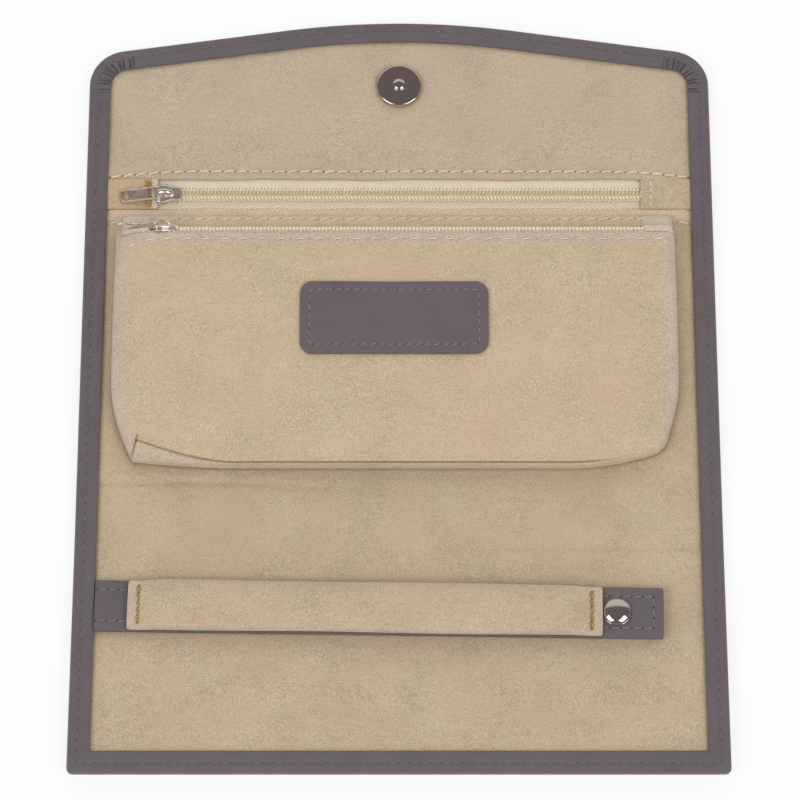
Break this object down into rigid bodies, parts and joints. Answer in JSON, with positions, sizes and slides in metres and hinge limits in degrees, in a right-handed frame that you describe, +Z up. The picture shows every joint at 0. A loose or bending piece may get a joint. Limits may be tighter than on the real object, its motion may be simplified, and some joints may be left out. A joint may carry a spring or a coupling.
{
  "type": "jewelry roll",
  "caption": "Folding leather jewelry roll lying open, velour lined, with a zipped flat pocket, a puffed zipped pouch, a padded ring bar on a snap strap and a magnetic closure.",
  "frame": {"origin": "bottom centre of the open roll's box, on the surface that it lies on", "axes": "+X to the right across the roll, +Y towards the flap, +Z up out of the lining"},
  "size_m": [0.21, 0.2632, 0.0154],
  "materials": {
    "leather": "smooth mauve grey calf leather, semi-matt",
    "velour": "short beige velour",
    "interlining": "plain bonded sheet",
    "zip_tape": "cream twill tape",
    "zip_coil": "cream nylon coil",
    "metal": "polished nickel plate",
    "magnet": "dull ferrite",
    "foam": "soft foam"
  },
  "bodies": {
    "back": {"back_cover": "leather", "back_interlining": "interlining", "zip_pocket_sheet": "interlining", "back_lining": "velour"},
    "top_spine": {"top_spine_cover": "leather", "zip_facing_upper": "velour", "zip_facing_lower": "velour", "zip_tape_upper": "zip_tape", "zip_tape_lower": "zip_tape", "zip_coil_upper": "zip_coil", "zip_coil_lower": "zip_coil", "zip_end_left": "velour", "zip_end_right": "velour"},
    "zip_slider": {"zip_slider": "metal"},
    "zip_pull": {"zip_pull": "metal"},
    "flap": {"flap_cover": "leather", "flap_interlining": "interlining", "flap_lining": "velour", "snap_stud": "metal", "snap_stud_washer": "metal"},
    "bottom_spine": {"bottom_spine_cover": "leather", "bottom_spine_lining": "velour"},
    "front": {"front_cover": "leather", "front_interlining": "interlining", "front_lining": "velour", "snap_socket": "metal", "snap_magnet": "magnet", "snap_socket_washer": "metal", "stud_post": "metal"},
    "strap": {"ring_strap": "leather", "ring_roll_sleeve": "velour", "ring_roll_core": "foam", "stud_cap": "metal", "stud_socket": "metal"},
    "pouch": {"pouch_front": "velour", "pouch_back": "velour", "pouch_facing": "velour", "pouch_tape_upper": "zip_tape", "pouch_tape_lower": "zip_tape", "pouch_coil_upper": "zip_coil", "pouch_coil_lower": "zip_coil", "pouch_end_left": "velour", "pouch_end_right": "velour", "pouch_label": "leather"},
    "pouch_slider": {"pouch_slider": "metal"},
    "pouch_pull": {"pouch_pull": "metal"}
  },
  "joints": [
    {"name": "bottom_spine_fold", "type": "hinge", "parent": "back", "child": "bottom_spine", "pos_m": [0, -0.0336, 0.004], "axis": [-1, 0, 0], "range_deg": [0, 90]},
    {"name": "front_fold", "type": "hinge", "parent": "bottom_spine", "child": "front", "pos_m": [0, -0.0556, 0.004], "axis": [-1, 0, 0], "range_deg": [0, 95.85]},
    {"name": "top_spine_fold", "type": "hinge", "parent": "back", "child": "top_spine", "pos_m": [0, 0.0609, 0.004], "axis": [1, 0, 0], "range_deg": [0, 90]},
    {"name": "flap_fold", "type": "hinge", "parent": "top_spine", "child": "flap", "pos_m": [0, 0.0769, 0.004], "axis": [1, 0, 0], "range_deg": [0, 82.3]},
    {"name": "strap_lift", "type": "hinge", "parent": "front", "child": "strap", "pos_m": [-0.0975, -0.07617, 0.00526], "axis": [0.0192, 0.9993, -0.0318], "range_deg": [-110, 0]},
    {"name": "pouch_lift", "type": "hinge", "parent": "back", "child": "pouch", "pos_m": [0, 0.0601, 0.003], "axis": [1, 0, 0], "range_deg": [-60, 0]},
    {"name": "zip_slide", "type": "slide", "parent": "top_spine", "child": "zip_slider", "axis": [-1, 0, 0], "range_m": [-0.152, 0]},
    {"name": "zip_pull_tilt", "type": "hinge", "parent": "zip_slider", "child": "zip_pull", "pos_m": [-0.08026, 0.0675, 0.00454], "axis": [0, -1, 0], "range_deg": [-170, 0]},
    {"name": "pouch_zip_slide", "type": "slide", "parent": "pouch", "child": "pouch_slider", "axis": [-1, 0, 0], "range_m": [-0.152, 0]},
    {"name": "pouch_pull_tilt", "type": "hinge", "parent": "pouch_slider", "child": "pouch_pull", "pos_m": [-0.08026, 0.05405, 0.01172], "axis": [0, -0.7318, 0.6816], "range_deg": [-170, 0]}
  ]
}
